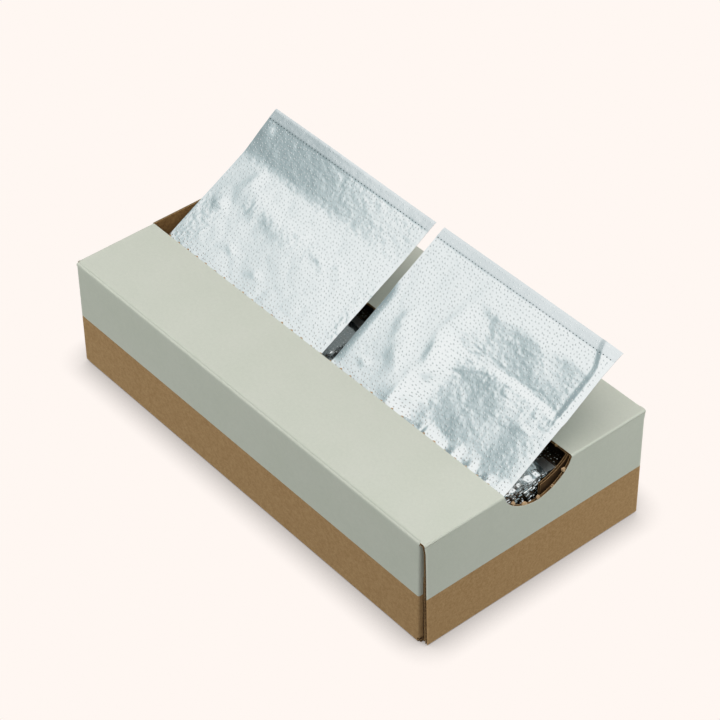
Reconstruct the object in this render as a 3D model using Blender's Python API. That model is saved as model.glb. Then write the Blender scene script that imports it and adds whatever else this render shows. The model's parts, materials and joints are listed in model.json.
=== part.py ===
"""Pop-up dispenser carton for pre-cut hair foils, as a Blender model in metres with +Z up.

The carton is folded from corrugated board: a tube of panels, closed at each end by two dust flaps,
an inner flap hinged on the bottom panel and an outer flap hinged on the top. The top is torn open
along a slot, which runs into a finger notch in the right outer flap. Two stacks of folded foil
sheets lie side by side inside, and one sheet of each stack stands out through the slot.

X runs along the carton from left to right, Y from front to back. The origin is the middle of the base.
"""

import math

import bmesh
import bpy
from mathutils import Matrix, Vector

# Foil sheets and their stacks
SHEET_WIDTH = 0.125
SHEET_LENGTH = 0.270
FOIL_THICKNESS = 0.0004
HEM_WIDTH = 0.0065
HEM_FOLD_ROOM = 0.0002
STACK_HEIGHT = 0.055
STACK_ROUNDING = 0.003
STACK_SPACING = 0.0075

# Sheets that stand out of the slot
LEAF_LENGTH = 0.091
LEAF_SETBACK = 0.0018
LEFT_LEAF_TILT = math.radians(29.5)
RIGHT_LEAF_TILT = math.radians(32.0)

# Sheets that lie ready on the stacks
READY_SETBACK = 0.0323
READY_CURL_RADIUS = 0.016
READY_CURL_ANGLE = math.radians(28.0)

# Carton board and its folds
BOARD = 0.0015
FOLD_RADIUS = 0.0012
CLEARANCE = 0.0003
LEFT_ROOM = 0.0013
RIGHT_ROOM = 0.0010
FRONT_ROOM = 0.0006
BACK_ROOM = 0.0006
HEADROOM = 0.008

# Slot in the top, finger notch and flaps
FRONT_STRIP_DEPTH = 0.0492
SLOT_WIDTH = 0.0428
NOTCH_DEPTH = 0.0152
NOTCH_POWER = 1.75
DUST_NOTCH_DEPTH = 0.0118
DUST_NOTCH_MARGIN = 0.0022
FRONT_DUST_DEPTH = 0.0600
BACK_DUST_DEPTH = 0.0635
DUST_EDGE_ROOM = 0.0005
INNER_FLAP_DROP = 0.003
INNER_FLAP_INSET = 0.0010
INNER_FLAP_CORNER = 0.006
OUTER_FLAP_INSET = 0.0004
OUTER_FLAP_LIFT = 0.0005
LAP_HEIGHT = 0.025

# Smoothness of curved outlines
NOTCH_STEPS = 24
DUST_NOTCH_STEPS = 10
ROUND_STEPS = 4
FOLD_SEGMENTS = 3

# Finishes
SAGE_PRINT = "#C9CDC0"
BARE_KRAFT = "#92765A"
BRIGHT_FOIL = "#D5DCDD"
SHADED_FOIL = "#A9B0B2"

# Inside of the carton, from what it holds
foldDepth = SHEET_LENGTH / 2
lapBuild = BOARD + CLEARANCE
innerHalfLength = (2 * SHEET_WIDTH + STACK_SPACING + LEFT_ROOM + RIGHT_ROOM) / 2
halfWidth = (foldDepth + FRONT_ROOM + BACK_ROOM + lapBuild) / 2 + BOARD
stackBottom = BOARD + CLEARANCE
stackTop = stackBottom + STACK_HEIGHT
topUnderside = stackTop + HEADROOM
height = topUnderside + BOARD

# Layers of each end, from the inside out
dustOuterX = innerHalfLength + BOARD
innerFlapInnerX = dustOuterX + CLEARANCE
innerFlapOuterX = innerFlapInnerX + BOARD
outerFlapInnerX = innerFlapOuterX + CLEARANCE
halfLength = outerFlapInnerX + BOARD

# Places that several pieces share
wallInnerY = halfWidth - BOARD
wallBottom = BOARD + CLEARANCE
wallTop = topUnderside - CLEARANCE
slotFront = -halfWidth + FRONT_STRIP_DEPTH
slotBack = slotFront + SLOT_WIDTH
slotMiddle = (slotFront + slotBack) / 2
notchBottom = height - NOTCH_DEPTH
innerFlapTop = notchBottom - INNER_FLAP_DROP
stackFront = -wallInnerY + FRONT_ROOM
stackBack = stackFront + foldDepth
foldRadius = min(FOLD_RADIUS, 0.8 * BOARD)


def linearColour(hexColour):
    """An sRGB hex colour as linear red, green, blue and alpha."""
    parts = [int(hexColour[i : i + 2], 16) / 255 for i in (1, 3, 5)]
    linear = [p / 12.92 if p <= 0.04045 else ((p + 0.055) / 1.055) ** 2.4 for p in parts]
    return (*linear, 1.0)


def makeMaterial(name, hexColour, roughness, metallic):
    """A plain Principled finish."""
    material = bpy.data.materials.new(name)
    material.use_nodes = True
    shader = material.node_tree.nodes["Principled BSDF"]
    shader.inputs["Base Color"].default_value = linearColour(hexColour)
    shader.inputs["Roughness"].default_value = roughness
    shader.inputs["Metallic"].default_value = metallic
    return material


def boardFinish(name, hexColour):
    return makeMaterial(name + "_board", hexColour, roughness=0.8, metallic=0.0)


def foilFinish(name, hexColour):
    return makeMaterial(name + "_foil", hexColour, roughness=0.3, metallic=1.0)


def prism(outline, axis, low, high):
    """A closed prism: an outline across the axis, carried along it from low to high."""
    order = {"X": (2, 0, 1), "Y": (0, 2, 1), "Z": (0, 1, 2)}[axis]
    mesh = bmesh.new()
    rings = []
    for along in (low, high):
        points = [(a, b, along) for a, b in outline]
        rings.append([mesh.verts.new([p[i] for i in order]) for p in points])
    for ring in rings:
        mesh.faces.new(ring)
    for i in range(len(outline)):
        j = (i + 1) % len(outline)
        mesh.faces.new((rings[0][i], rings[0][j], rings[1][j], rings[1][i]))
    bmesh.ops.recalc_face_normals(mesh, faces=mesh.faces[:])
    return mesh


def rectangle(a0, a1, b0, b1):
    return [(a0, b0), (a1, b0), (a1, b1), (a0, b1)]


def roundFolds(mesh, *tests):
    """Rounds each edge whose two ends both pass one of the tests."""
    folds = [e for e in mesh.edges if any(all(test(v.co) for v in e.verts) for test in tests)]
    bmesh.ops.bevel(
        mesh,
        geom=folds,
        offset=foldRadius,
        offset_type="OFFSET",
        segments=FOLD_SEGMENTS,
        profile=0.5,
        affect="EDGES",
    )


def near(value, target):
    return abs(value - target) < CLEARANCE / 10


def addNode(name, mesh, material, origin=(0.0, 0.0, 0.0), tilt=0.0):
    """Turns a mesh in world coordinates into an object whose origin is the given point."""
    mesh.transform(Matrix.Translation(-Vector(origin)))
    return placeNode(name, mesh, material, origin, tilt)


def placeNode(name, mesh, material, location, tilt=0.0):
    """Places a mesh drawn about its own origin, tilted about X, under the carton's empty."""
    data = bpy.data.meshes.new(name)
    mesh.to_mesh(data)
    mesh.free()
    data.materials.append(material)
    piece = bpy.data.objects.new(name, data)
    piece.location = location
    piece.rotation_euler = (tilt, 0.0, 0.0)
    piece.parent = carton
    bpy.context.scene.collection.objects.link(piece)
    return piece


def notchCurve(halfSpan, depth, steps, start=-1.0, end=1.0):
    """Points of the U-shaped cut below the top edge, from start to end of its half span."""
    points = []
    for i in range(steps + 1):
        share = start + (end - start) * i / steps
        drop = depth * max(0.0, 1 - abs(share) ** NOTCH_POWER) ** (1 / NOTCH_POWER)
        points.append((slotMiddle + share * halfSpan, height - drop))
    return points


def makeBottomPanel():
    mesh = prism(rectangle(-innerFlapOuterX, innerFlapOuterX, -halfWidth, halfWidth), "Z", 0.0, BOARD)
    roundFolds(
        mesh,
        lambda p: near(p.z, 0.0) and near(abs(p.y), halfWidth),
        lambda p: near(p.z, 0.0) and near(abs(p.x), innerFlapOuterX),
    )
    addNode("bottom_panel", mesh, boardFinish("bottom_panel", BARE_KRAFT))


def makeWall(name, side):
    """The front wall on side -1, the back wall on side 1."""
    outer = side * halfWidth
    inner = side * wallInnerY
    low, high = sorted((outer, inner))
    mesh = prism(rectangle(-dustOuterX, dustOuterX, wallBottom, wallTop), "Y", low, high)
    roundFolds(mesh, lambda p: near(p.y, outer) and near(abs(p.x), dustOuterX))
    addNode(name, mesh, boardFinish(name, SAGE_PRINT))


def makeTopStrip(name, cutY, outerY):
    """One of the two strips that the torn slot leaves of the top panel."""
    low, high = sorted((cutY, outerY))
    mesh = prism(rectangle(-halfLength, halfLength, low, high), "Z", topUnderside, height)
    roundFolds(
        mesh,
        lambda p: near(p.z, height) and near(p.y, outerY),
        lambda p: near(p.z, height) and near(abs(p.x), halfLength),
    )
    addNode(name, mesh, boardFinish(name, SAGE_PRINT))


def makeGlueLap():
    """The lap that joins the tube, glued inside the back wall."""
    halfSpan = innerHalfLength - CLEARANCE
    back = wallInnerY - CLEARANCE
    outline = rectangle(-halfSpan, halfSpan, wallBottom, wallBottom + LAP_HEIGHT)
    mesh = prism(outline, "Y", back - BOARD, back)
    addNode("glue_lap", mesh, boardFinish("glue_lap", BARE_KRAFT))


def makeDustFlap(name, end, side, depth):
    """A dust flap of the left (-1) or right (1) end, hinged on the front (-1) or back (1) wall."""
    hingeY = side * (wallInnerY - CLEARANCE)
    freeY = hingeY - side * depth
    low = wallBottom + DUST_EDGE_ROOM
    high = topUnderside - DUST_EDGE_ROOM
    halfSpan = SLOT_WIDTH / 2 + DUST_NOTCH_MARGIN
    freeShare = (freeY - slotMiddle) / halfSpan
    cut = notchCurve(halfSpan, DUST_NOTCH_DEPTH, DUST_NOTCH_STEPS, freeShare, side)
    cut = [point for point in cut if point[1] < high]
    outline = [(hingeY, low), (freeY, low), *cut, (slotMiddle + side * halfSpan, high), (hingeY, high)]
    inner, outer = sorted((end * innerHalfLength, end * dustOuterX))
    mesh = prism(outline, "X", inner, outer)
    hinge = (end * dustOuterX, side * halfWidth, 0.0)
    addNode(name, mesh, boardFinish(name, BARE_KRAFT), origin=hinge)


def makeInnerFlap(name, end):
    """The inner flap of one end, hinged on the bottom panel's outer edge."""
    halfSpan = halfWidth - INNER_FLAP_INSET
    shoulder = innerFlapTop - INNER_FLAP_CORNER
    narrow = halfSpan - INNER_FLAP_CORNER
    outline = [
        (-halfSpan, wallBottom),
        (halfSpan, wallBottom),
        (halfSpan, shoulder),
        (narrow, innerFlapTop),
        (-narrow, innerFlapTop),
        (-halfSpan, shoulder),
    ]
    inner, outer = sorted((end * innerFlapInnerX, end * innerFlapOuterX))
    mesh = prism(outline, "X", inner, outer)
    hinge = (end * innerFlapOuterX, 0.0, 0.0)
    addNode(name, mesh, boardFinish(name, BARE_KRAFT), origin=hinge)


def makeOuterFlap(name, end, slotEdge):
    """The outer flap of one end, hinged on the top's outer edge; slotEdge is its outline in the slot."""
    halfSpan = halfWidth - OUTER_FLAP_INSET
    outline = [(halfSpan, wallTop), (halfSpan, OUTER_FLAP_LIFT)]
    outline += [(-halfSpan, OUTER_FLAP_LIFT), (-halfSpan, wallTop)]
    outline += slotEdge
    inner, outer = sorted((end * outerFlapInnerX, end * halfLength))
    mesh = prism(outline, "X", inner, outer)
    hinge = (end * halfLength, 0.0, height)
    addNode(name, mesh, boardFinish(name, SAGE_PRINT), origin=hinge)


def tongueEdge():
    """The left flap's edge in the slot: it stands as high as the top, between the two strips."""
    front = slotFront + CLEARANCE
    back = slotBack - CLEARANCE
    return [(front, wallTop), (front, height), (back, height), (back, wallTop)]


def notchEdge():
    """The right flap's edge in the slot: the finger notch."""
    curve = notchCurve(SLOT_WIDTH / 2, NOTCH_DEPTH, NOTCH_STEPS)
    return [point for point in curve if point[1] < wallTop]


def makeStack(name, leftX):
    """A stack of folded sheets, round along its folded front and back edges."""
    radius = min(STACK_ROUNDING, STACK_HEIGHT / 2)
    corners = [
        (stackBack - radius, stackTop - radius, 0),
        (stackFront + radius, stackTop - radius, 90),
        (stackFront + radius, stackBottom + radius, 180),
        (stackBack - radius, stackBottom + radius, 270),
    ]
    outline = []
    for y, z, start in corners:
        for i in range(ROUND_STEPS + 1):
            turn = math.radians(start + 90 * i / ROUND_STEPS)
            outline.append((y + radius * math.cos(turn), z + radius * math.sin(turn)))
    mesh = prism(outline, "X", leftX, leftX + SHEET_WIDTH)
    addNode(name, mesh, foilFinish(name, SHADED_FOIL))


def makeReadySheet(name, leftX):
    """The next sheet, lying on its stack with its front edge curled up a little."""
    bottom = stackTop + CLEARANCE
    edgeRun = READY_CURL_RADIUS * math.sin(READY_CURL_ANGLE)
    bendY = slotFront + READY_SETBACK + edgeRun
    endY = stackBack - STACK_ROUNDING
    under = [(endY, bottom)]
    over = [(endY, bottom + FOIL_THICKNESS)]
    for i in range(ROUND_STEPS + 1):
        turn = READY_CURL_ANGLE * i / ROUND_STEPS
        for points, radius in ((under, READY_CURL_RADIUS), (over, READY_CURL_RADIUS - FOIL_THICKNESS)):
            rise = READY_CURL_RADIUS - radius * math.cos(turn)
            points.append((bendY - radius * math.sin(turn), bottom + rise))
    mesh = prism(under + over[::-1], "X", leftX, leftX + SHEET_WIDTH)
    addNode(name, mesh, foilFinish(name, BRIGHT_FOIL))


def makeLeaf(name, leftX, tilt):
    """The part of a sheet that stands out of its stack, with its turned hem, drawn flat and then tilted."""
    hemStart = LEAF_LENGTH - HEM_WIDTH
    hemTop = 2 * FOIL_THICKNESS + HEM_FOLD_ROOM
    outline = [
        (0.0, 0.0),
        (LEAF_LENGTH, 0.0),
        (LEAF_LENGTH, hemTop),
        (hemStart, hemTop),
        (hemStart, FOIL_THICKNESS),
        (0.0, FOIL_THICKNESS),
    ]
    mesh = prism(outline, "X", 0.0, SHEET_WIDTH)
    root = (leftX, slotFront + LEAF_SETBACK, stackTop + CLEARANCE)
    placeNode(name, mesh, foilFinish(name, BRIGHT_FOIL), root, tilt)


for old in list(bpy.data.objects):
    bpy.data.objects.remove(old, do_unlink=True)

carton = bpy.data.objects.new("carton", None)
bpy.context.scene.collection.objects.link(carton)

makeBottomPanel()
makeWall("front_panel", -1)
makeWall("back_panel", 1)
makeTopStrip("top_front_strip", slotFront, -halfWidth)
makeTopStrip("top_back_strip", slotBack, halfWidth)
makeGlueLap()

for endName, end, slotEdge in (("left", -1, tongueEdge()), ("right", 1, notchEdge())):
    makeDustFlap(endName + "_front_dust_flap", end, -1, FRONT_DUST_DEPTH)
    makeDustFlap(endName + "_back_dust_flap", end, 1, BACK_DUST_DEPTH)
    makeInnerFlap(endName + "_inner_flap", end)
    makeOuterFlap(endName + "_outer_flap", end, slotEdge)

leftStackX = -innerHalfLength + LEFT_ROOM
rightStackX = innerHalfLength - RIGHT_ROOM - SHEET_WIDTH
for stackName, stackX, leafTilt in (
    ("left", leftStackX, LEFT_LEAF_TILT),
    ("right", rightStackX, RIGHT_LEAF_TILT),
):
    makeStack(stackName + "_foil_stack", stackX)
    makeReadySheet(stackName + "_ready_sheet", stackX)
    makeLeaf(stackName + "_popped_sheet", stackX, leafTilt)
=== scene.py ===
import json
import math
import random

import bmesh
import bpy
from mathutils import Matrix, Vector, noise


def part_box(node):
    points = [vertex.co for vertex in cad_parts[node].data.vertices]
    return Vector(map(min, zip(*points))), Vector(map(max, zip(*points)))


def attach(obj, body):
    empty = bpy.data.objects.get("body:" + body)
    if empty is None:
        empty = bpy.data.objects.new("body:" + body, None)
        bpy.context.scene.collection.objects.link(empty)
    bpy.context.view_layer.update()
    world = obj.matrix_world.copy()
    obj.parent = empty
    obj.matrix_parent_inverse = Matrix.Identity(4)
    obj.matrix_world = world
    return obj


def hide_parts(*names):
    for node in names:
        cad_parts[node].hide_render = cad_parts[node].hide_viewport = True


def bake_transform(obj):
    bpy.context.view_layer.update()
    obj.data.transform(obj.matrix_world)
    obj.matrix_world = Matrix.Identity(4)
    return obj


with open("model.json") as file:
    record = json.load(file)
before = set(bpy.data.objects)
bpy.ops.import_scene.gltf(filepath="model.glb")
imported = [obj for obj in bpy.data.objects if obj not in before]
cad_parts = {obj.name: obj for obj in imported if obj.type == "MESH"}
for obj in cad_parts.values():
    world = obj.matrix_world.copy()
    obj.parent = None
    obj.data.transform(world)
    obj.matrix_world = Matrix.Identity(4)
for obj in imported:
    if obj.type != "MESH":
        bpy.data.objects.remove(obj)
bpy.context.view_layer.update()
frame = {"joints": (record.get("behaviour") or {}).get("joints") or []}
mm = 0.001
X, Y, Z = Vector((1, 0, 0)), Vector((0, 1, 0)), Vector((0, 0, 1))

# Sizes taken from the frame, so every piece sits where its node is
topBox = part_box("top_front_strip")
halfLength = topBox[1].x
halfWidth = -topBox[0].y
topZ = topBox[1].z
slotFront = topBox[1].y
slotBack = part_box("top_back_strip")[0].y
slotMiddle = (slotFront + slotBack) / 2
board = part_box("bottom_panel")[1].z
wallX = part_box("front_panel")[1].x
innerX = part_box("bottom_panel")[1].x
print("frame read: carton %.1f x %.1f x %.1f mm" % (2000 * halfLength, 2000 * halfWidth, 1000 * topZ))


# Node, colour and curve helpers
def linear(hexColour, strength=1.0):
    parts = [int(hexColour[i:i + 2], 16) / 255 for i in (1, 3, 5)]
    return [strength * (p / 12.92 if p <= 0.04045 else ((p + 0.055) / 1.055) ** 2.4) for p in parts] + [1.0]


def addNode(tree, kind, settings=None, links=None):
    node = tree.nodes.new(kind)
    for key, value in (settings or {}).items():
        if isinstance(key, int) or key in node.inputs:
            node.inputs[key].default_value = value
        else:
            setattr(node, key, value)
    for key, source in (links or {}).items():
        tree.links.new(source, node.inputs[key])
    return node


def setStops(ramp, stops):
    elements = ramp.color_ramp.elements
    for i, (at, colour) in enumerate(stops):
        stop = elements[i] if i < 2 else elements.new(at)
        stop.position = at
        stop.color = colour


def newMaterial(name):
    material = bpy.data.materials.new(name)
    material.use_nodes = True
    tree = material.node_tree
    return material, tree, tree.nodes["Principled BSDF"]


def addNoise(tree, spot, size, detail):
    # smooth noise whose patches are about size millimetres wide
    settings = {"Scale": 1000 / size, "Detail": detail}
    return addNode(tree, "ShaderNodeTexNoise", settings, {"Vector": spot}).outputs[0]


def addBump(tree, height, strength, depth, under=None):
    # raised relief, depth in millimetres, over an earlier relief if there is one
    links = {"Height": height}
    if under:
        links["Normal"] = under
    settings = {"Strength": strength, "Distance": depth * mm}
    return addNode(tree, "ShaderNodeBump", settings, links).outputs["Normal"]


def smooth(t):
    t = min(1.0, max(0.0, t))
    return t * t * (3 - 2 * t)


def softRamp(t, soft):
    # nothing below -soft, then a rise that turns into one in one
    if t <= -soft:
        return 0.0
    return t if t >= soft else (t + soft) ** 2 / (4 * soft)


# Camera, set to the photograph's view
camera = {
    "position": (0.73799, -0.61160, 0.88595),
    "aim": (0.00407, 0.00212, 0.05),
    "roll": math.radians(-0.546),
    "lens": 127.5,
    "sensor": 36.0,
}


def placeCamera():
    data = bpy.data.cameras.new("studioCamera")
    data.lens = camera["lens"]
    data.sensor_width = camera["sensor"]
    data.clip_end = 20
    eye = bpy.data.objects.new("studioCamera", data)
    look = Vector(camera["aim"]) - Vector(camera["position"])
    turn = look.to_track_quat("-Z", "Y").to_matrix().to_4x4()
    eye.matrix_world = Matrix.Translation(camera["position"]) @ turn @ Matrix.Rotation(camera["roll"], 4, "Z")
    bpy.context.scene.collection.objects.link(eye)
    bpy.context.scene.camera = eye


# Studio: a dome that is bright overhead and dim and bluish lower down, with soft fills
# that only light the board
studio = {
    "dome": (
        (0.45, "#FFFFFA", 0.22),
        (0.53, "#EAF4F6", 0.20),
        (0.75, "#E7FBFF", 0.36),
        (0.81, "#E7FBFF", 0.45),
        (0.843, "#EBFBFE", 0.66),
        (0.863, "#FDFFFF", 0.93),
        (1.0, "#FFFFFF", 0.97),
    ),
    "fills": (
        ("overhead", (0.0, 0.0, 2.0), 1.5, 7.2, "#FFFAF3"),
        ("frontLeft", (-0.55, -0.75, 0.35), 0.5, 3.0, "#F6FFFA"),
        ("backRight", (0.6, 0.7, 0.35), 0.5, 3.8, "#F6FFFA"),
        ("frontRight", (0.9, -0.75, 0.5), 0.8, 2.8, "#F6FFFA"),
    ),
}


def buildStudio():
    scene = bpy.context.scene
    scene.view_settings.view_transform = "Standard"
    scene.view_settings.look = "None"
    world = bpy.data.worlds.new("studioDome")
    scene.world = world
    world.use_nodes = True
    tree = world.node_tree
    sky = addNode(tree, "ShaderNodeTexCoord")
    split = addNode(tree, "ShaderNodeSeparateXYZ", links={0: sky.outputs["Generated"]})
    limits = {"From Min": -1.0, "From Max": 1.0}
    share = addNode(tree, "ShaderNodeMapRange", limits, {"Value": split.outputs["Z"]})
    ramp = addNode(tree, "ShaderNodeValToRGB", links={"Fac": share.outputs[0]})
    setStops(ramp, [(at, linear(colour, strength)) for at, colour, strength in studio["dome"]])
    tree.links.new(ramp.outputs["Color"], tree.nodes["Background"].inputs["Color"])
    for name, place, size, power, colour in studio["fills"]:
        light = bpy.data.lights.new(name, "AREA")
        light.energy = power
        light.size = size
        light.color = linear(colour)[:3]
        lamp = bpy.data.objects.new(name, light)
        turn = (-Vector(place)).to_track_quat("-Z", "Y").to_matrix().to_4x4()
        lamp.matrix_world = Matrix.Translation(place) @ turn
        lamp.visible_glossy = False
        scene.collection.objects.link(lamp)


# Backdrop: a seamless pale sweep that glows evenly and darkens only in a short contact shadow round the
# carton, a painted shadow taken from ambient occlusion
backdrop = {
    "colour": "#FFF7F2",
    "shade": 0.88,
    "shadowReach": 16.0,
    "profile": ((0.0, -0.0002), (4.0, -0.0002), (4.7, 0.25), (5.0, 0.9), (5.1, 4.5)),
    "sides": 48,
}


def buildBackdrop():
    sides, profile = backdrop["sides"], backdrop["profile"]
    points, faces = [], []
    for radius, height in profile:
        for i in range(sides):
            turn = 2 * math.pi * i / sides
            points.append((radius * math.cos(turn), radius * math.sin(turn), height))
    for ring in range(len(profile) - 1):
        for i in range(sides):
            a, b = ring * sides + i, ring * sides + (i + 1) % sides
            faces.append((a, b, b + sides, a + sides))
    mesh = bpy.data.meshes.new("paleSweep")
    mesh.from_pydata(points, [], faces)
    material, tree = newMaterial("paleSweepGlowPaintedShadow")[:2]
    reach = {"Distance": backdrop["shadowReach"] * mm, "samples": 8}
    near = addNode(tree, "ShaderNodeAmbientOcclusion", reach)
    floorColour = linear(backdrop["colour"])
    shadeColour = [c * (1 - backdrop["shade"]) for c in floorColour[:3]] + [1.0]
    tones = {"data_type": "RGBA", 6: shadeColour, 7: floorColour}
    tone = addNode(tree, "ShaderNodeMix", tones, {"Factor": near.outputs["AO"]})
    glow = addNode(tree, "ShaderNodeEmission", links={"Color": tone.outputs[2]})
    tree.links.new(glow.outputs[0], tree.nodes["Material Output"].inputs["Surface"])
    mesh.materials.append(material)
    sweep = bpy.data.objects.new("paleSweep", mesh)
    sweep.visible_diffuse = False
    sweep.visible_glossy = False
    sweep.visible_shadow = False
    bpy.context.scene.collection.objects.link(sweep)


# Corrugated board: matt sage ink on brown kraft liner, which stays bare in a band at the foot of each wall.
# Fine fibres show through the ink, and the bare kraft is softly clouded and flecked.
paint = {
    "sage": "#CBCABF",
    "sageLow": "#C8C8BC",
    # the crease tone: lighter sage for the rolled edges, partly worn ink and partly a painted highlight where
    # they catch the light
    "creaseWearAndHighlight": "#D2D1C5",
    "kraft": "#AF895F",
    "kraftDark": "#A47E55",
    "kraftLight": "#B9946A",
    # the inner liner is painted darker than bare kraft, as painted shade for the carton's shaded inside
    "inside": "#5C432D",
    "tongue": "#8E6840",
    "torn": "#C9A682",
    "fluteEdge": "#7E5F3F",
    "printLine": 30.8,
    "fibre": 0.55,
    "fleck": 1.7,
    "cloud": 22.0,
    "looseFibre": 1.2,
}


def boardMaterial(name, sageHex, printed, lift=1.0):
    material, tree, shader = newMaterial(name)
    spot = addNode(tree, "ShaderNodeTexCoord").outputs["Object"]
    fibre = addNoise(tree, spot, paint["fibre"], 2.0)
    fleck = addNoise(tree, spot, paint["fleck"], 4.0)
    mixed = addNode(tree, "ShaderNodeMath", {"operation": "ADD"}, {0: fibre, 1: fleck})
    limits = {"From Min": 0.55, "From Max": 1.45}
    grain = addNode(tree, "ShaderNodeMapRange", limits, {"Value": mixed.outputs[0]}).outputs[0]
    kraftRamp = addNode(tree, "ShaderNodeValToRGB", links={"Fac": grain})
    kraftStops = ((0.2, "kraftDark"), (0.5, "kraft"), (0.8, "kraftLight"))
    setStops(kraftRamp, [(at, linear(paint[key], lift)) for at, key in kraftStops])
    colour = kraftRamp.outputs["Color"]
    if printed:
        cloud = addNoise(tree, spot, paint["cloud"], 2.0)
        inkRamp = addNode(tree, "ShaderNodeValToRGB", links={"Fac": cloud})
        lowHex = paint["sageLow"] if sageHex == paint["sage"] else sageHex
        setStops(inkRamp, [(0.3, linear(lowHex)), (0.7, linear(sageHex))])
        limits = {"To Min": 0.96, "To Max": 1.04}
        weave = addNode(tree, "ShaderNodeMapRange", limits, {"Value": grain})
        ink = addNode(
            tree,
            "ShaderNodeMix",
            {"data_type": "RGBA", "blend_type": "MULTIPLY", "Factor": 1.0},
            {6: inkRamp.outputs["Color"], 7: weave.outputs[0]},
        )
        split = addNode(tree, "ShaderNodeSeparateXYZ", links={0: spot})
        line = {"operation": "GREATER_THAN", 1: paint["printLine"] * mm}
        above = addNode(tree, "ShaderNodeMath", line, {0: split.outputs["Z"]})
        inputs = {"Factor": above.outputs[0], 6: colour, 7: ink.outputs[2]}
        colour = addNode(tree, "ShaderNodeMix", {"data_type": "RGBA"}, inputs).outputs[2]
    tree.links.new(colour, shader.inputs["Base Color"])
    shader.inputs["Roughness"].default_value = 0.66 if printed else 0.82
    shader.inputs["Specular IOR Level"].default_value = 0.25 if printed else 0.15
    tree.links.new(addBump(tree, grain, 0.2, 0.05), shader.inputs["Normal"])
    return material


def fibreMaterial(name, hexColour):
    # cut or torn board: loose fibres, darker in their gaps
    material, tree, shader = newMaterial(name)
    spot = addNode(tree, "ShaderNodeTexCoord").outputs["Object"]
    fibre = addNoise(tree, spot, paint["looseFibre"], 4.0)
    ramp = addNode(tree, "ShaderNodeValToRGB", links={"Fac": fibre})
    setStops(ramp, [(0.3, linear(hexColour, 0.72)), (0.7, linear(hexColour, 1.18))])
    tree.links.new(ramp.outputs["Color"], shader.inputs["Base Color"])
    shader.inputs["Roughness"].default_value = 0.9
    shader.inputs["Specular IOR Level"].default_value = 0.15
    tree.links.new(addBump(tree, fibre, 0.4, 0.1), shader.inputs["Normal"])
    return material


placeCamera()
buildStudio()
buildBackdrop()
boardFinishes = [
    boardMaterial("sagePrintOnKraftBoard", paint["sage"], True),
    boardMaterial("bareKraftLiner", paint["sage"], False),
    fibreMaterial("flutingPaper", paint["fluteEdge"]),
    # painted highlight: the crease finish is lighter sage with its kraft lifted by 1.12, for worn ink and for
    # the light the rolled edges catch
    boardMaterial("creaseWornInkPaintedHighlight", paint["creaseWearAndHighlight"], True, 1.12),
    fibreMaterial("tornKraftFibre", paint["torn"]),
    # painted shade: the inner liner finish is darkened to stand for the shade inside the carton
    fibreMaterial("innerLinerPaintedShade", paint["inside"]),
    fibreMaterial("wornInnerLiner", paint["tongue"]),
]
printFace, kraftFace, fluteFace, creaseWearAndHighlightFace, tornFace, paintedShadeInsideFace, tongueFace = range(7)
print("studio and board finishes ready")


# Board pieces are gathered as points and faces, then made into one object each
def newPart():
    return {"points": [], "faces": [], "finish": []}


def addFaces(part, points, faces, finish):
    start = len(part["points"])
    part["points"] += points
    for i, face in enumerate(faces):
        part["faces"].append([start + k for k in face])
        part["finish"].append(finish[i] if isinstance(finish, list) else finish)


def dress(piece, body, nodes=()):
    # hands a piece to its body; a piece given two bodies is only baked in place and left without a body
    bpy.context.scene.collection.objects.link(piece)
    if isinstance(body, str):
        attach(piece, body)
    else:
        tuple(body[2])
        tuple(body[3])
        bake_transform(piece)
    if nodes:
        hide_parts(*nodes)


def makePiece(name, part, finishes, body, nodes=(), smoothAngle=40):
    mesh = bpy.data.meshes.new(name)
    mesh.from_pydata(part["points"], [], part["faces"])
    for material in finishes:
        mesh.materials.append(material)
    mesh.polygons.foreach_set("material_index", part["finish"])
    shell = bmesh.new()
    shell.from_mesh(mesh)
    bmesh.ops.recalc_face_normals(shell, faces=shell.faces[:])
    shell.to_mesh(mesh)
    shell.free()
    mesh.shade_smooth()
    mesh.set_sharp_from_angle(angle=math.radians(smoothAngle))
    dress(bpy.data.objects.new(name, mesh), body, nodes)


def placer(origin, across, up, out):
    # maps sizes across, up and out of a panel's outer face to the carton
    origin, across, up, out = Vector(origin), Vector(across), Vector(up), Vector(out)
    return lambda u, v, n: origin + across * u + up * v + out * n


def rectangle(u0, u1, v0, v1):
    return [(u0, v0), (u1, v0), (u1, v1), (u0, v1)]


def addSlab(part, outline, place, low, high, finish):
    count = len(outline)
    points = [place(u, v, n) for n in (low, high) for u, v in outline]
    faces = [list(range(count))[::-1], list(range(count, 2 * count))]
    for i in range(count):
        j = (i + 1) % count
        faces.append([i, j, count + j, count + i])
    addFaces(part, points, faces, [finish[0], finish[1]] + [finish[2]] * count)


def spansAt(outline, across, at):
    # stretches of the line at one across coordinate that lie inside the outline
    hits = []
    for i, a in enumerate(outline):
        b = outline[(i + 1) % len(outline)]
        if (a[across] <= at) != (b[across] <= at):
            share = (at - a[across]) / (b[across] - a[across])
            hits.append(a[1 - across] + share * (b[1 - across] - a[1 - across]))
    hits.sort()
    return list(zip(hits[::2], hits[1::2]))


corrugation = {"liner": 0.28, "paper": 0.20, "pitch": 2.5, "steps": 8, "inset": 0.12}


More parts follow.
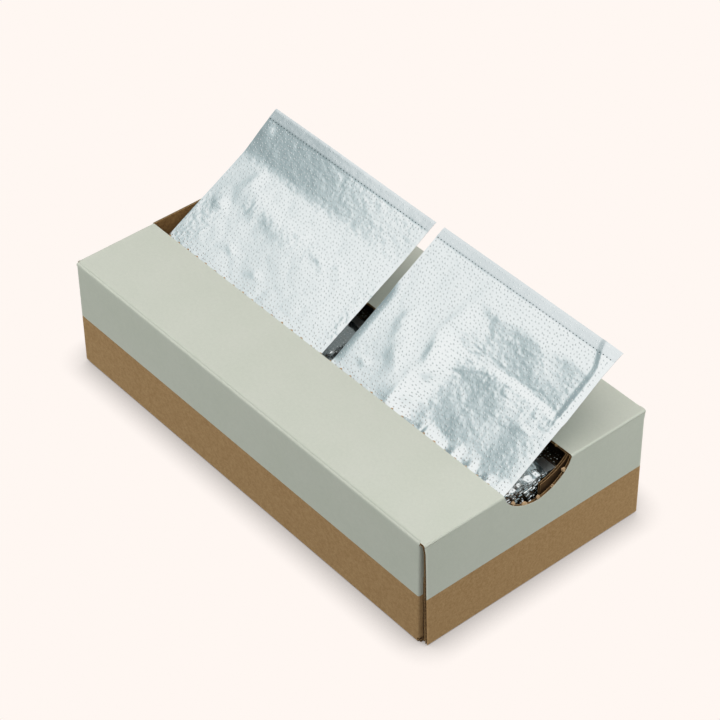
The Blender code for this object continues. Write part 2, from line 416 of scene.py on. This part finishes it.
def addFluting(part, outline, place, across, thick):
    pitch, paper = corrugation["pitch"] * mm, corrugation["paper"] * mm
    inset = corrugation["inset"] * mm
    swing = (thick - 2 * corrugation["liner"] * mm - paper) / 2
    low = min(p[across] for p in outline) + inset
    high = max(p[across] for p in outline) - inset
    steps = int((high - low) / pitch * corrugation["steps"])
    runs, growing = [], []
    for i in range(steps + 1):
        at = low + (high - low) * i / steps
        wave = -thick / 2 + swing * math.sin(2 * math.pi * at / pitch)
        spans = [(a + inset, b - inset) for a, b in spansAt(outline, across, at) if b - a > 3 * inset]
        if len(spans) != len(growing):
            growing = [[] for span in spans]
            runs += growing
        for run, (start, end) in zip(growing, spans):
            for along, side in ((start, -1), (end, -1), (end, 1), (start, 1)):
                u, v = (at, along) if across == 0 else (along, at)
                run.append(place(u, v, wave + side * paper / 2))
    for run in runs:
        last = len(run) - 4
        if last < 4:
            continue
        faces = [[3, 2, 1, 0], [last, last + 1, last + 2, last + 3]]
        for i in range(0, last, 4):
            for k in range(4):
                j = (k + 1) % 4
                faces.append([i + k, i + j, i + j + 4, i + k + 4])
        addFaces(part, run, faces, fluteFace)


def addBoard(part, outline, place, across, thick=board, outer=printFace, inner=paintedShadeInsideFace, rolled=0.0):
    # two liners with the wavy fluting between them; rolled rounds the outer liner's far side edges, and the
    # band round the outer liner's edge then takes the lighter crease finish, worn ink and a painted highlight
    liner = corrugation["liner"] * mm
    if rolled:
        reach = 0.9 * max(abs(u) for u, v in outline)
        face = [(u - math.copysign(rolled, u) if abs(u) > reach else u, v) for u, v in outline]
        count = len(outline)
        rings = ((outline, -liner), (outline, -0.6 * liner), (face, 0.0))
        points = [place(u, v, n) for ring, n in rings for u, v in ring]
        faces = [list(range(count))[::-1], list(range(2 * count, 3 * count))]
        for low in (0, count):
            for i in range(count):
                j = (i + 1) % count
                faces.append([low + i, low + j, low + count + j, low + count + i])
        addFaces(part, points, faces, [paintedShadeInsideFace, outer] + [kraftFace] * count + [creaseWearAndHighlightFace] * count)
    else:
        addSlab(part, outline, place, -liner, 0.0, (paintedShadeInsideFace, outer, kraftFace))
    addSlab(part, outline, place, -thick, -thick + liner, (inner, paintedShadeInsideFace, kraftFace))
    addFluting(part, outline, place, across, thick)


crease = {"steps": 24, "leastRadius": 0.15, "grooveTurn": 0.75, "grooveWidth": 0.45}


def addFold(part, corner, dirA, dirB, along, span, radius, groove=0.0, outer=printFace):
    # a folded crease that turns from face A to face B, with a groove where the crease was crushed
    steps, grooveWidth = crease["steps"], crease["grooveWidth"] * mm
    centre = Vector(corner) + (dirA + dirB) * radius
    inside = max(radius - board, crease["leastRadius"] * mm)
    ring = []
    for i in range(steps + 1):
        turn = math.pi / 2 * i / steps
        dent = groove * math.exp(-((turn - crease["grooveTurn"]) * radius / grooveWidth) ** 2)
        arm = dirB * -math.cos(turn) + dirA * -math.sin(turn)
        ring.append((centre + arm * (radius - dent), centre + arm * inside))
    count = steps + 1
    points = []
    for at in span:
        points += [a + along * at for a, b in ring] + [b + along * at for a, b in ring]
    faces, finish = [], []
    for i in range(steps):
        faces.append([i, i + 1, 2 * count + i + 1, 2 * count + i])
        faces.append([count + i, 3 * count + i, 3 * count + i + 1, count + i + 1])
        faces.append([i, count + i, count + i + 1, i + 1])
        faces.append([2 * count + i, 2 * count + i + 1, 3 * count + i + 1, 3 * count + i])
        finish += [outer, paintedShadeInsideFace, fluteFace, fluteFace]
    for i in (0, steps):
        faces.append([i, 2 * count + i, 3 * count + i, count + i])
        finish.append(kraftFace)
    addFaces(part, points, faces, finish)


def addChip(part, place, at, along, width, reach, dice, finish):
    # a torn tuft of board, left where a perforation tore; along is the edge, and the chip stands off its left
    u, v = at
    du, dv = along
    outline = []
    for a, b in ((-0.5, -0.4), (0.5, -0.4), (0.46, 0.45), (0.2, 1.0), (-0.18, 0.75), (-0.44, 0.5)):
        a = (a + dice.uniform(-0.08, 0.08)) * width
        b = (b + (dice.uniform(-0.15, 0.15) if b > 0 else 0.0)) * reach
        outline.append((u + du * a - dv * b, v + dv * a + du * b))
    addSlab(part, outline, place, -0.8 * board, -0.06 * board, (finish, finish, finish))


# The tube of the carton: walls, base and the two strips of the top, whose slot edges keep torn chips
tube = {
    "fold": 1.1,
    "frontFold": 2.4,
    "frontGroove": 0.3,
    "cornerFold": 1.0,
    "lipFold": 0.9,
    "endFold": 1.2,
    "bleed": 9.0,
    "ink": 0.03,
    "endGap": 0.3,
    "footGap": 0.5,
    "leftLip": 134.7,
    "topReach": 70.3,
    "chipPitch": 7.65,
    "chipStart": -120.8,
    "chipEnd": 131.0,
    "chipShift": 0.35,
    "chipWidth": 1.3,
    "chipReach": 0.85,
}
fold, frontFold, cornerFold = [tube[key] * mm for key in ("fold", "frontFold", "cornerFold")]
lipFold, endFold = tube["lipFold"] * mm, tube["endFold"] * mm
leftLip, topReach = tube["leftLip"] * mm, tube["topReach"] * mm


def buildTube():
    dice = random.Random(5)
    # base, bare kraft underneath
    part = newPart()
    outline = rectangle(-innerX + fold, innerX - fold, -halfWidth + fold, halfWidth - fold)
    addBoard(part, outline, placer((0, 0, 0), X, -Y, -Z), 0, outer=kraftFace)
    for side in (-1, 1):
        corner, span = (0, side * halfWidth, 0), (-wallX, wallX - tube["footGap"] * mm)
        addFold(part, corner, -side * Y, Z, X, span, fold, outer=kraftFace)
    makePiece("bottomPanel", part, boardFinishes, "carton", ["bottom_panel"])
    # front and back walls, each with a rounded lip at its left end
    for name, side, node in (("frontPanel", -1, "front_panel"), ("backPanel", 1, "back_panel")):
        part = newPart()
        top = topZ - (frontFold if side < 0 else fold)
        place = placer((0, side * halfWidth, 0), -side * X, Z, side * Y)
        ends = sorted((side * (leftLip - lipFold), -side * (wallX - cornerFold)))
        addBoard(part, rectangle(ends[0], ends[1], fold, top), place, 0)
        lip = (-leftLip, side * halfWidth, 0)
        addFold(part, lip, X, -side * Y, Z, (fold, top), lipFold)
        makePiece(name, part, boardFinishes, "carton", [node])
    # strips of the top, each with the fold down to its wall
    for name, side, cut, node in (
        ("topFrontStrip", -1, slotFront, "top_front_strip"),
        ("topBackStrip", 1, slotBack, "top_back_strip"),
    ):
        part = newPart()
        reach = frontFold if side < 0 else fold
        groove = tube["frontGroove"] * mm if side < 0 else 0.0
        place = placer((0, 0, topZ), X, Y, Z)
        end, bend = halfLength - endFold, side * (halfWidth - reach)
        outline = [(-end, cut), (end, cut), (end, side * topReach), (wallX, side * topReach)]
        outline += [(wallX, bend), (-end, bend)]
        addBoard(part, outline, place, 0)
        span = (tube["endGap"] * mm - halfLength, wallX)
        addFold(part, (0, side * halfWidth, topZ), -side * Y, -Z, X, span, reach, groove)
        at = tube["chipStart"]
        while at < tube["chipEnd"]:
            width = tube["chipWidth"] * dice.uniform(0.7, 1.4) * mm
            tuft = tube["chipReach"] * dice.uniform(0.6, 1.25) * mm
            addChip(part, place, (at * mm, cut), (-side, 0), width, tuft, dice, kraftFace)
            at += tube["chipPitch"] + dice.uniform(-tube["chipShift"], tube["chipShift"])
        makePiece(name, part, boardFinishes, "carton", [node])
    # lap that closes the tube inside the back wall
    low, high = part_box("glue_lap")
    part = newPart()
    outline = rectangle(low.x, high.x, low.z, high.z)
    addBoard(part, outline, placer((0, high.y, 0), -X, Z, Y), 0, outer=kraftFace)
    makePiece("glueLap", part, boardFinishes, "carton", ["glue_lap"])


# End flaps: dust flaps from the walls, an inner flap from the base and an outer flap from the top.
# The outer flaps' sides taper, and the right one springs out a little.
flaps = {
    "notchPower": 1.75,
    "notchDepth": 15.2,
    "dustNotchDepth": {"front": 21.0, "back": 11.8},
    "dustMargin": 2.2,
    "dustInset": 1.6,
    "cornerFoot": 2.6,
    "curveSteps": 28,
    "innerCorner": 6.0,
    "innerHalfSpan": 68.0,
    "rolledEdge": 0.9,
    "outerSides": {
        "right": ((64.8, 70.3), (60, 69.6), (30, 69.2), (0.5, 68.8)),
        "left": ((64.8, 69.4), (30, 69.0), (0.5, 68.6)),
    },
    "outerThick": {"right": 1.5, "left": 1.05},
    "splay": {"right": 0.85, "left": 0.0},
    "tabs": ((16.9, 59.7), (10.4, 53.0), (0.8, 52.0), (-8.0, 53.1), (-15.4, 57.9)),
}


def notchCurve(halfSpan, depth, start, end, steps):
    points = []
    for i in range(steps + 1):
        share = start + (end - start) * i / steps
        drop = depth * max(0.0, 1 - abs(share) ** flaps["notchPower"]) ** (1 / flaps["notchPower"])
        points.append((slotMiddle + share * halfSpan, topZ - drop))
    return points


def buildDustFlap(label, end, wall, side):
    node = "%s_%s_dust_flap" % (label, wall)
    low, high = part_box(node)
    free = high.y if side < 0 else low.y
    halfSpan = (slotBack - slotFront) / 2 + flaps["dustMargin"] * mm
    share = (free - slotMiddle) / halfSpan
    curve = notchCurve(halfSpan, flaps["dustNotchDepth"][wall] * mm, share, side, flaps["curveSteps"] // 2)
    curve = [p for p in curve if p[1] < high.z - 0.1 * mm]
    edge = side * (halfWidth - (cornerFold if end > 0 else flaps["dustInset"] * mm))
    outline = [(edge, low.z), (free, low.z), *curve, (slotMiddle + side * halfSpan, high.z), (edge, high.z)]
    part = newPart()
    place = placer((end * wallX, 0, 0), Y, Z, end * X)
    # the dust flap's outer face takes the darkened inner liner, as painted shade behind the outer flap and in
    # the notch
    addBoard(part, outline, place, 0, outer=paintedShadeInsideFace)
    if end > 0:
        corner = (end * wallX, side * halfWidth, 0)
        addFold(part, corner, -end * X, -side * Y, Z, (flaps["cornerFoot"] * mm, high.z), cornerFold)
        # the print runs a little way round the corner
        bleed = sorted((edge, edge - side * tube["bleed"] * mm))
        strip = rectangle(bleed[0], bleed[1], low.z, high.z)
        addSlab(part, strip, place, 0.0, tube["ink"] * mm, (printFace,) * 3)
    name = "%s%sDustFlap" % (label, wall.title())
    makePiece(name, part, boardFinishes, "carton", [node])


def buildInnerFlap(label, end):
    node = label + "_inner_flap"
    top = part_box(node)[1].z
    corner, half = flaps["innerCorner"] * mm, flaps["innerHalfSpan"] * mm
    outline = [(-half, fold), (half, fold), (half, top - corner), (half - corner, top)]
    outline += [(corner - half, top), (-half, top - corner)]
    part = newPart()
    addBoard(part, outline, placer((end * innerX, 0, 0), Y, Z, end * X), 1, outer=kraftFace)
    makePiece(label + "InnerFlap", part, boardFinishes, node, [node])
    part = newPart()
    addFold(part, (end * innerX, 0, 0), -end * X, Z, Y, (-half, half), fold, outer=kraftFace)
    start, stop = (end * (innerX - fold), 0, 0), (end * innerX, 0, fold)
    makePiece(label + "InnerCrease", part, boardFinishes, ("carton", node, start, stop))


def buildOuterFlap(label, end):
    node = label + "_outer_flap"
    shoulder = topZ - endFold
    sides = [(y * mm, z * mm) for z, y in flaps["outerSides"][label]]
    outline = [(-y, z) for y, z in sides[::-1]]
    if end > 0:
        steps = flaps["curveSteps"]
        curve = notchCurve((slotBack - slotFront) / 2, flaps["notchDepth"] * mm, -1, 1, steps)
        slotEdge = [(slotFront, shoulder)] + [p for p in curve if p[1] < shoulder] + [(slotBack, shoulder)]
    else:
        slotEdge = [(slotFront, shoulder), (slotFront, topZ), (slotBack, topZ), (slotBack, shoulder)]
    outline += slotEdge + sides
    part = newPart()
    lean = math.tan(math.radians(flaps["splay"][label]))
    origin = (end * (halfLength + shoulder * lean), 0, 0)
    place = placer(origin, Y, Z - end * lean * X, end * X)
    # the right flap's inside takes the darkened inner liner as painted shade; the left one keeps the lighter
    # inner liner
    thick, inner = flaps["outerThick"][label] * mm, paintedShadeInsideFace if end > 0 else tongueFace
    addBoard(part, outline, place, 1, thick, inner=inner, rolled=flaps["rolledEdge"] * mm)
    if end > 0:
        dice = random.Random(8)
        middle = Vector((slotMiddle, topZ))
        for y, z in flaps["tabs"]:
            inward = (middle - Vector((y * mm, z * mm))).normalized()
            width, tuft = dice.uniform(1.6, 2.8) * mm, dice.uniform(0.9, 1.4) * mm
            addChip(part, place, (y * mm, z * mm), (inward.y, -inward.x), width, tuft, dice, tornFace)
    makePiece(label + "OuterFlap", part, boardFinishes, node, [node])
    reach = sides[0][0]
    for name, span in (("Front", (-reach, slotFront)), ("Back", (slotBack, reach))):
        part = newPart()
        addFold(part, (end * halfLength, 0, topZ), -end * X, -Z, Y, span, endFold)
        start, stop = (end * (halfLength - endFold), 0, topZ), (end * halfLength, 0, topZ - endFold)
        bodies = ("carton", node, start, stop)
        makePiece(label + "Outer" + name + "Crease", part, boardFinishes, bodies)


buildTube()
for label, end in (("left", -1), ("right", 1)):
    buildDustFlap(label, end, "front", -1)
    buildDustFlap(label, end, "back", 1)
    buildInnerFlap(label, end)
    buildOuterFlap(label, end)
print("carton folded")


# Foil: bright rolled aluminium, embossed all over with small round dots that catch the light.
# Its folded hem is smoother and duller, with a row of pressed marks painted dark as painted shade; handling
# has left soft creases.
foil = {
    "colour": "#F3F6F6",
    "hemColour": "#EEF2F3",
    # the dark foil of the pressed hem marks is painted shade
    "markPaintedShade": "#525F65",
    "dotPitch": 2.15,
    "dotShift": 0.62,
    "dotRadius": 0.46,
    "dotHeight": 0.15,
    "dotSides": 6,
    "grain": 0.8,
    "tatter": 1.6,
    "tatterDepth": 1.2,
    "thickness": 0.12,
    "margin": 0.7,
}


def foilMaterial(name, hexColour, roughness, dotted=False):
    material, tree, shader = newMaterial(name)
    spot = addNode(tree, "ShaderNodeTexCoord").outputs["Object"]
    shader.inputs["Base Color"].default_value = linear(hexColour)
    shader.inputs["Metallic"].default_value = 1.0
    fine = addNoise(tree, spot, foil["grain"], 3.0)
    limits = {"To Min": 0.75 * roughness, "To Max": 1.25 * roughness}
    gloss = addNode(tree, "ShaderNodeMapRange", limits, {"Value": fine})
    tree.links.new(gloss.outputs[0], shader.inputs["Roughness"])
    relief = addBump(tree, fine, 0.2, 0.05)
    if dotted:
        cells = addNode(tree, "ShaderNodeTexVoronoi", {"Scale": 1000 / foil["dotPitch"]}, {"Vector": spot})
        limits = {"From Max": foil["dotRadius"] / foil["dotPitch"], "To Min": 1.0, "To Max": 0.0}
        dome = addNode(tree, "ShaderNodeMapRange", limits, {"Value": cells.outputs["Distance"]})
        relief = addBump(tree, dome.outputs[0], 1.0, foil["dotHeight"], relief)
        torn = addNoise(tree, spot, foil["tatter"], 4.0)
        relief = addBump(tree, torn, 1.0, foil["tatterDepth"], relief)
    tree.links.new(relief, shader.inputs["Normal"])
    return material


foilFinishes = [
    foilMaterial("embossedAluminiumFoil", foil["colour"], 0.16),
    foilMaterial("foldedFoilHem", foil["hemColour"], 0.34),
    foilMaterial("pressedHemMarksPaintedShade", foil["markPaintedShade"], 0.5),
    foilMaterial("stackedFoilEdges", foil["colour"], 0.2, True),
]
foilFace, hemFace, markShadeFace, stackFace = range(4)


def addSheet(part, across, along, spot, finishAt):
    # a thin closed sheet; across and along give start, end and number of cells on the flat sheet
    (u0, u1, columns), (v0, v1, rows) = across, along
    us = [u0 + (u1 - u0) * i / columns for i in range(columns + 1)]
    vs = [v0 + (v1 - v0) * j / rows for j in range(rows + 1)]
    points = [spot(u, v, depth) for depth in (0.0, -foil["thickness"]) for v in vs for u in us]
    wide, under = columns + 1, (columns + 1) * (rows + 1)
    faces, finish = [], []
    for j in range(rows):
        face = finishAt((vs[j] + vs[j + 1]) / 2)
        for i in range(columns):
            a = j * wide + i
            quad = [a, a + 1, a + 1 + wide, a + wide]
            faces += [quad, [under + k for k in quad[::-1]]]
            finish += [face, face]
    rim = list(range(columns)) + [j * wide + columns for j in range(rows)]
    rim += [rows * wide + i for i in range(columns, 0, -1)] + [j * wide for j in range(rows, 0, -1)]
    for k, a in enumerate(rim):
        b = rim[(k + 1) % len(rim)]
        faces.append([b, a, under + a, under + b])
        finish.append(foilFace)
    addFaces(part, points, faces, finish)


def addDot(part, spot, u, v, radius, height, finish):
    # one pressed dot: a low dome, closed underneath
    sides = foil["dotSides"]
    turns = [2 * math.pi * k / sides for k in range(sides)]
    points = []
    for share, lift in ((1.0, -0.03), (0.62, 0.66 * height)):
        ring = share * radius
        points += [spot(u + ring * math.cos(t), v + ring * math.sin(t), lift) for t in turns]
    points.append(spot(u, v, height))
    faces = [list(range(sides))[::-1]]
    for k in range(sides):
        j = (k + 1) % sides
        faces += [[k, j, sides + j, sides + k], [sides + k, sides + j, 2 * sides]]
    addFaces(part, points, faces, finish)


def addDots(part, across, along, spot, seed, press=1.0):
    # dots in every cell of a shaken grid; press is how fully they are pressed
    dice = random.Random(seed)
    pitch, shift = foil["dotPitch"], foil["dotShift"]
    v = along[0] + pitch / 2
    while v < along[1]:
        u = across[0] + pitch / 2
        while u < across[1]:
            size = dice.uniform(0.85, 1.15)
            du, dv = dice.uniform(-shift, shift), dice.uniform(-shift, shift)
            radius, height = foil["dotRadius"] * size, foil["dotHeight"] * size * press
            addDot(part, spot, u + du, v + dv, radius, height, foilFace)
            u += pitch
        v += pitch


def ripple(u, v, size, seed):
    # smooth noise over the flat sheet, in patches about size millimetres wide
    return noise.noise(Vector((u / size, v / size, seed)))


def wornSizes(worn):
    # the sharp sizes of crease for crinkle, higher where the foil is more worn
    return (5.5, 3.6, 0.06 * worn), (2.6, 1.8, 0.055 * worn), (1.7, 1.2, 0.03 * worn)


def crinkle(u, v, seed, sizes):
    # creases of handled foil, soft in the first size and sharp in the others: each size is a width across,
    # a length along and a height, in millimetres
    lift = 0.0
    for k, (width, length, height) in enumerate(sizes):
        wave = noise.noise(Vector((u / width, v / length, seed + 7.3 * k)))
        lift += height * (abs(wave) if k else wave)
    return lift


def dents(u, v, places):
    # soft bulges with ragged outlines: each has a middle, a half width, a half length and a height,
    # in millimetres
    lift = 0.0
    u, v = u + 2 * ripple(u, v, 7, 1.5), v + 2 * ripple(u, v, 7, 9.5)
    for middleU, middleV, width, length, height in places:
        off = ((u - middleU) / width) ** 2 + ((v - middleV) / length) ** 2
        if off < 9:
            lift += height * math.exp(-off)
    return lift


def fall(v, low, high, soft):
    # how far v has come down the stretch from high to low
    return softRamp(high - v, soft) - softRamp(low - v, soft)


# Sheets that stand out of the slot: places are millimetres across the sheet and up from the slot
popped = {
    "length": 91.0,
    "hem": 6.2,
    "setback": 1.8,
    "lift": 0.4,
    "cell": 0.62,
    "hemLift": 0.12,
    "edgeRoll": 0.35,
    "markPitch": 2.285,
    "markRadius": 0.40,
    "leftDents": (
        (30, 45, 17, 7, 0.36), (52, 42, 12, 5, 0.2), (66, 44, 5, 3, 0.14), (85, 41, 5, 3, 0.16),
        (96.5, 42.5, 3, 2.5, 0.15), (12, 33, 4, 3.5, 0.3), (36, 17.5, 5, 2.5, 0.18), (61, 14, 5, 2.5, 0.18),
        (18, 54, 5, 6, 0.22), (4, 77, 4, 4, 0.3),
    ),
    "rightDents": (
        (19, 40, 5, 9, 0.34), (27, 27, 7, 9, 0.42), (42, 10, 6, 6, 0.42), (43.5, 44, 4, 16, 0.34),
        (15, 14, 4, 2.5, 0.16), (84, 27, 9, 7, -0.25), (108, 33, 6, 2.5, 0.2),
    ),
}
hemStart = popped["length"] - popped["hem"]


def leftForm(u, v):
    # the head of the sheet bends up, and its lower left and right edge are crumpled
    headRow, crumpleRow = 63.5, 41
    lift = (0.15 - 0.095 * smooth((u - 42) / 75)) * softRamp(v - headRow, 3)
    lift += dents(u, v, popped["leftDents"])
    corner = (1 - smooth((u - 8) / 16)) * (1 - smooth((v - 24) / 20))
    edge = smooth((u - 116) / 6) * smooth((v - 5) / 8) * (1 - smooth((v - 42) / 12))
    head = smooth((v - 58) / 6)
    middle = math.exp(-(((v - crumpleRow) / 6) ** 2)) * smooth((u - 20) / 8) * (1 - smooth((u - 90) / 15))
    worn = 0.35 + 1.6 * corner + 2.0 * edge + 1.0 * head + 1.1 * middle
    sizes = ((45, 45, 0.3), (13, 13, 0.1), *wornSizes(worn))
    return lift + crinkle(u, v, 3.0, sizes) - 0.03 * softRamp(v - hemStart, 1)


def rightForm(u, v):
    # two tipped fields on the right with a crinkled ridge between them, soft creases on the left, bent edges
    across = u + 6 * ripple(u, v, 17, 4.2)
    along = v + 2.5 * ripple(u, v, 15, 8.6)
    footRow, ridgeRow, crestRow, headRow = 9, 47, 50, 71 + 3 * smooth((u - 60) / 55)
    upper = 0.28 * smooth((u - 66) / 25) * fall(along, ridgeRow, crestRow, 1)
    upper -= 0.1 * fall(along, crestRow, headRow, 2)
    patchy = smooth(0.6 + 1.6 * ripple(u, 0.0, 8, 2.7))
    lower = 0.3 * patchy * fall(along, 3, footRow, 2) - 0.042 * fall(along, footRow, ridgeRow, 2)
    lower += 0.02 * (min(max(u, 52), 120) - 88) * smooth((46 - along) / 12)
    lift = upper * smooth((across - 38) / 20)
    lift += lower * smooth((across - 40 - 0.5 * max(0.0, along - 24)) / 18)
    lift *= 1 - 0.5 * smooth((u - 98) / 26)
    lift -= 0.02 * max(0.0, 5 - u) ** 2 * smooth((v - 3) / 6) * (1 - smooth((v - 45) / 12))
    ridge = 121 - 6.5 * smooth((v - 74) / 18)
    rise = min(max(0.0, u - ridge + 3.2), 3.2) * 0.13 - max(0.0, u - ridge) * 0.1
    lift += rise * smooth((v - 36) / 12)
    lift -= 0.05 * softRamp(v - hemStart, 1)
    lift += dents(u, v, popped["rightDents"])
    ridged = math.exp(-(((v - 45) / 6) ** 2))
    worn = 0.4 + (1.1 + 1.2 * ridged) * smooth((u - 42) / 16) * smooth((76 - v) / 8)
    sizes = ((40, 45, 0.3), (13, 16, 0.1), *wornSizes(worn))
    return lift + crinkle(u, v, 11.0, sizes)


def buildPopped(label, form, seed):
    node = label + "_popped_sheet"
    low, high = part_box(node)
    axis = next(j["axis"] for j in frame["joints"] if j["name"] == label + "_sheet_pull")
    turn = Matrix.Rotation(math.atan2(axis[2], axis[1]), 4, "X")
    root = Matrix.Translation((low.x, slotFront + popped["setback"] * mm, low.z)) @ turn
    width, length, margin = (high.x - low.x) / mm, popped["length"], foil["margin"]

    def spot(u, v, depth):
        lift = popped["lift"] + form(u, v) + popped["hemLift"] * smooth((v - hemStart + 0.6) / 1.2) + depth
        lift -= popped["edgeRoll"] * softRamp(v - length + 0.8, 0.3)
        return root @ Vector((u * mm, v * mm, lift * mm))

    part = newPart()
    cells = (int(width / popped["cell"]), int(length / popped["cell"]))
    finishAt = lambda v: hemFace if v > hemStart else foilFace
    addSheet(part, (0, width, cells[0]), (0, length, cells[1]), spot, finishAt)
    addDots(part, (margin, width - margin), (0.5, hemStart - 1.2), spot, seed)
    addDots(part, (margin, width - margin), (hemStart + 1, length - 1.2), spot, seed + 5, 0.18)
    at = 1.2
    while at < width - 0.8:
        # painted shade: the pressed marks take a dark foil finish
        addDot(part, spot, at, hemStart + 0.1, popped["markRadius"], 0.06, markShadeFace)
        at += popped["markPitch"]
    makePiece(label + "PoppedSheet", part, foilFinishes, node, [node], smoothAngle=50)


# Sheets that lie ready on the stacks, with the hem at their curled front edge
ready = {"curlRadius": 16.0, "curlAngle": 28.0, "cell": 0.9, "hem": 6.5, "droop": 0.02, "lift": 0.3}


def buildReady(label, seed):
    node = label + "_ready_sheet"
    low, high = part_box(node)
    radius, angle = ready["curlRadius"], math.radians(ready["curlAngle"])
    arc = radius * angle
    bendY = low.y / mm + radius * math.sin(angle)
    width, length = (high.x - low.x) / mm, high.y / mm - bendY + arc

    def spot(u, v, depth):
        turn = angle * max(0.0, 1 - v / arc)
        y = bendY - radius * math.sin(turn) + max(0.0, v - arc)
        z = low.z / mm + radius * (1 - math.cos(turn))
        sizes = ((18, 12, 0.2), (6, 5, 0.08), (3, 2, 0.05 * (v < 7)))
        lift = ready["lift"] + crinkle(u, v, seed, sizes) + depth
        lift -= ready["droop"] * max(0.0, u - width + 9) ** 2 * max(0.0, 1 - v / arc)
        return Vector((low.x + u * mm, (y + lift * math.sin(turn)) * mm, (z + lift * math.cos(turn)) * mm))

    part = newPart()
    cells = (int(width / ready["cell"]), int(length / ready["cell"]))
    finishAt = lambda v: hemFace if v < ready["hem"] else foilFace
    addSheet(part, (0, width, cells[0]), (0, length, cells[1]), spot, finishAt)
    addDots(part, (foil["margin"], width - foil["margin"]), (ready["hem"] + 1, length - 1), spot, seed)
    makePiece(label + "ReadySheet", part, foilFinishes, "carton", [node], smoothAngle=50)


# Stacks of folded sheets: wavy layered sides, and a loose top sheet that rises towards the notch
stack = {
    "layers": 36,
    "step": 2.0,
    "inset": 0.7,
    "wave": 0.3,
    "waveSize": 9.0,
    "ledge": 0.4,
    "sag": 0.5,
    "sagSize": 25.0,
    "topGap": 0.3,
    "corner": 3.0,
    "topCell": 0.9,
    "bulge": {"left": 0.0, "right": 3.0},
    "endDrop": {"left": 0.0, "right": 0.02},
    "slivers": 420,
    "sliverReach": 22.0,
    "sliverDepth": 20.0,
    "sliverThick": 0.1,
}


def addSlivers(part, x, end, top, dice):
    # ragged ends of folded sheets: small tilted flakes on the end of the stack
    for i in range(stack["slivers"]):
        y = slotMiddle + dice.uniform(-1, 1) * stack["sliverReach"] * mm
        z = top - dice.uniform(0, 1) * stack["sliverDepth"] * mm
        lean = (end * dice.uniform(0.1, 0.9), dice.uniform(-0.7, 0.5), dice.uniform(0.2, 1.0))
        out = Vector(lean).normalized()
        across = Y.cross(out).cross(out).normalized()
        place = placer((x, y, z), across, out.cross(across), out)
        length, width = dice.uniform(0.5, 1.5) * mm, dice.uniform(0.2, 0.45) * mm
        outline = rectangle(-length, length, -width, width)
        addSlab(part, outline, place, -stack["sliverThick"] * mm, 0.0, (foilFace,) * 3)


def roundedOutline(low, high, corner, step):
    points = []
    centres = ((high.x, high.y, 0), (low.x, high.y, 90), (low.x, low.y, 180), (high.x, low.y, 270))
    for x, y, start in centres:
        cx = x - corner if x == high.x else x + corner
        cy = y - corner if y == high.y else y + corner
        for k in range(5):
            turn = math.radians(start + 22.5 * k)
            points.append((cx + corner * math.cos(turn), cy + corner * math.sin(turn)))
    fine = []
    for i, a in enumerate(points):
        b = points[(i + 1) % len(points)]
        pieces = max(1, int(math.dist(a, b) / step))
        for k in range(pieces):
            fine.append(tuple(a[c] + (b[c] - a[c]) * k / pieces for c in (0, 1)))
    return fine


def buildStack(label, seed):
    node = label + "_foil_stack"
    low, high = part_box(node)
    edge = stack["inset"] * mm
    low, high = low + Vector((edge, edge, 0)), high - Vector((edge, edge, 0))
    outline = roundedOutline(low, high, stack["corner"] * mm, stack["step"] * mm)
    middle = (low + high) / 2
    rings = 2 * stack["layers"]
    wave, waveSize, sagSize = [stack[key] * mm for key in ("wave", "waveSize", "sagSize")]
    points, faces = [], []
    for k in range(rings + 1):
        z = low.z + (high.z - stack["topGap"] * mm - low.z) * k / rings
        ledge = stack["ledge"] if k % 2 else -stack["ledge"]
        for x, y in outline:
            rough = ripple(x, y, waveSize, seed + 1.7 * (k // 2))
            out = Vector((x - middle.x, y - middle.y, 0)).normalized() * wave * (rough + ledge)
            sag = ripple(x, y, sagSize, seed) * math.sin(math.pi * k / rings)
            points.append(Vector((x, y, z + stack["sag"] * mm * sag)) + out)
    count = len(outline)
    for k in range(rings):
        for i in range(count):
            j = (i + 1) % count
            faces.append([k * count + i, k * count + j, (k + 1) * count + j, (k + 1) * count + i])
    faces += [list(range(count))[::-1], [rings * count + i for i in range(count)]]
    part = newPart()
    addFaces(part, points, faces, stackFace)
    dice = random.Random(seed)
    for x, end in ((low.x, -1), (high.x, 1)):
        addSlivers(part, x, end, high.z, dice)
    makePiece(label + "FoilStack", part, foilFinishes, "carton", [node], smoothAngle=80)
    width, depth = (high.x - low.x) / mm, (high.y - low.y) / mm
    slotStart = (slotFront - low.y) / mm
    bulge, endDrop = stack["bulge"][label], stack["endDrop"][label]

    def spot(u, v, lift):
        swell = bulge * smooth((u - width + 26) / 16) * math.exp(-((v - slotStart - 18) / 16) ** 2)
        rough = smooth(swell / 0.8)
        sizes = ((20, 14, 0.14), (6, 4, 0.1 + 0.9 * rough), (3.2, 2.4, 0.1 + 0.5 * rough))
        lift += swell + foil["thickness"] + crinkle(u, v, seed, sizes)
        lift -= endDrop * max(0.0, u - width + 12) ** 2
        return Vector((low.x + u * mm, low.y + v * mm, high.z - 0.1 * mm + lift * mm))

    part = newPart()
    cells = (int(width / stack["topCell"]), int(depth / stack["topCell"]))
    addSheet(part, (0, width, cells[0]), (0, depth, cells[1]), spot, lambda v: foilFace)
    margin = foil["margin"]
    addDots(part, (margin, width - margin), (slotStart - 4, slotStart + 40), spot, seed)
    makePiece(label + "StackTopSheet", part, foilFinishes, "carton", smoothAngle=50)


for label, form, seed in (("left", leftForm, 21), ("right", rightForm, 34)):
    buildStack(label, seed)
    buildReady(label, seed + 1)
    buildPopped(label, form, seed + 2)
print("foils stand")
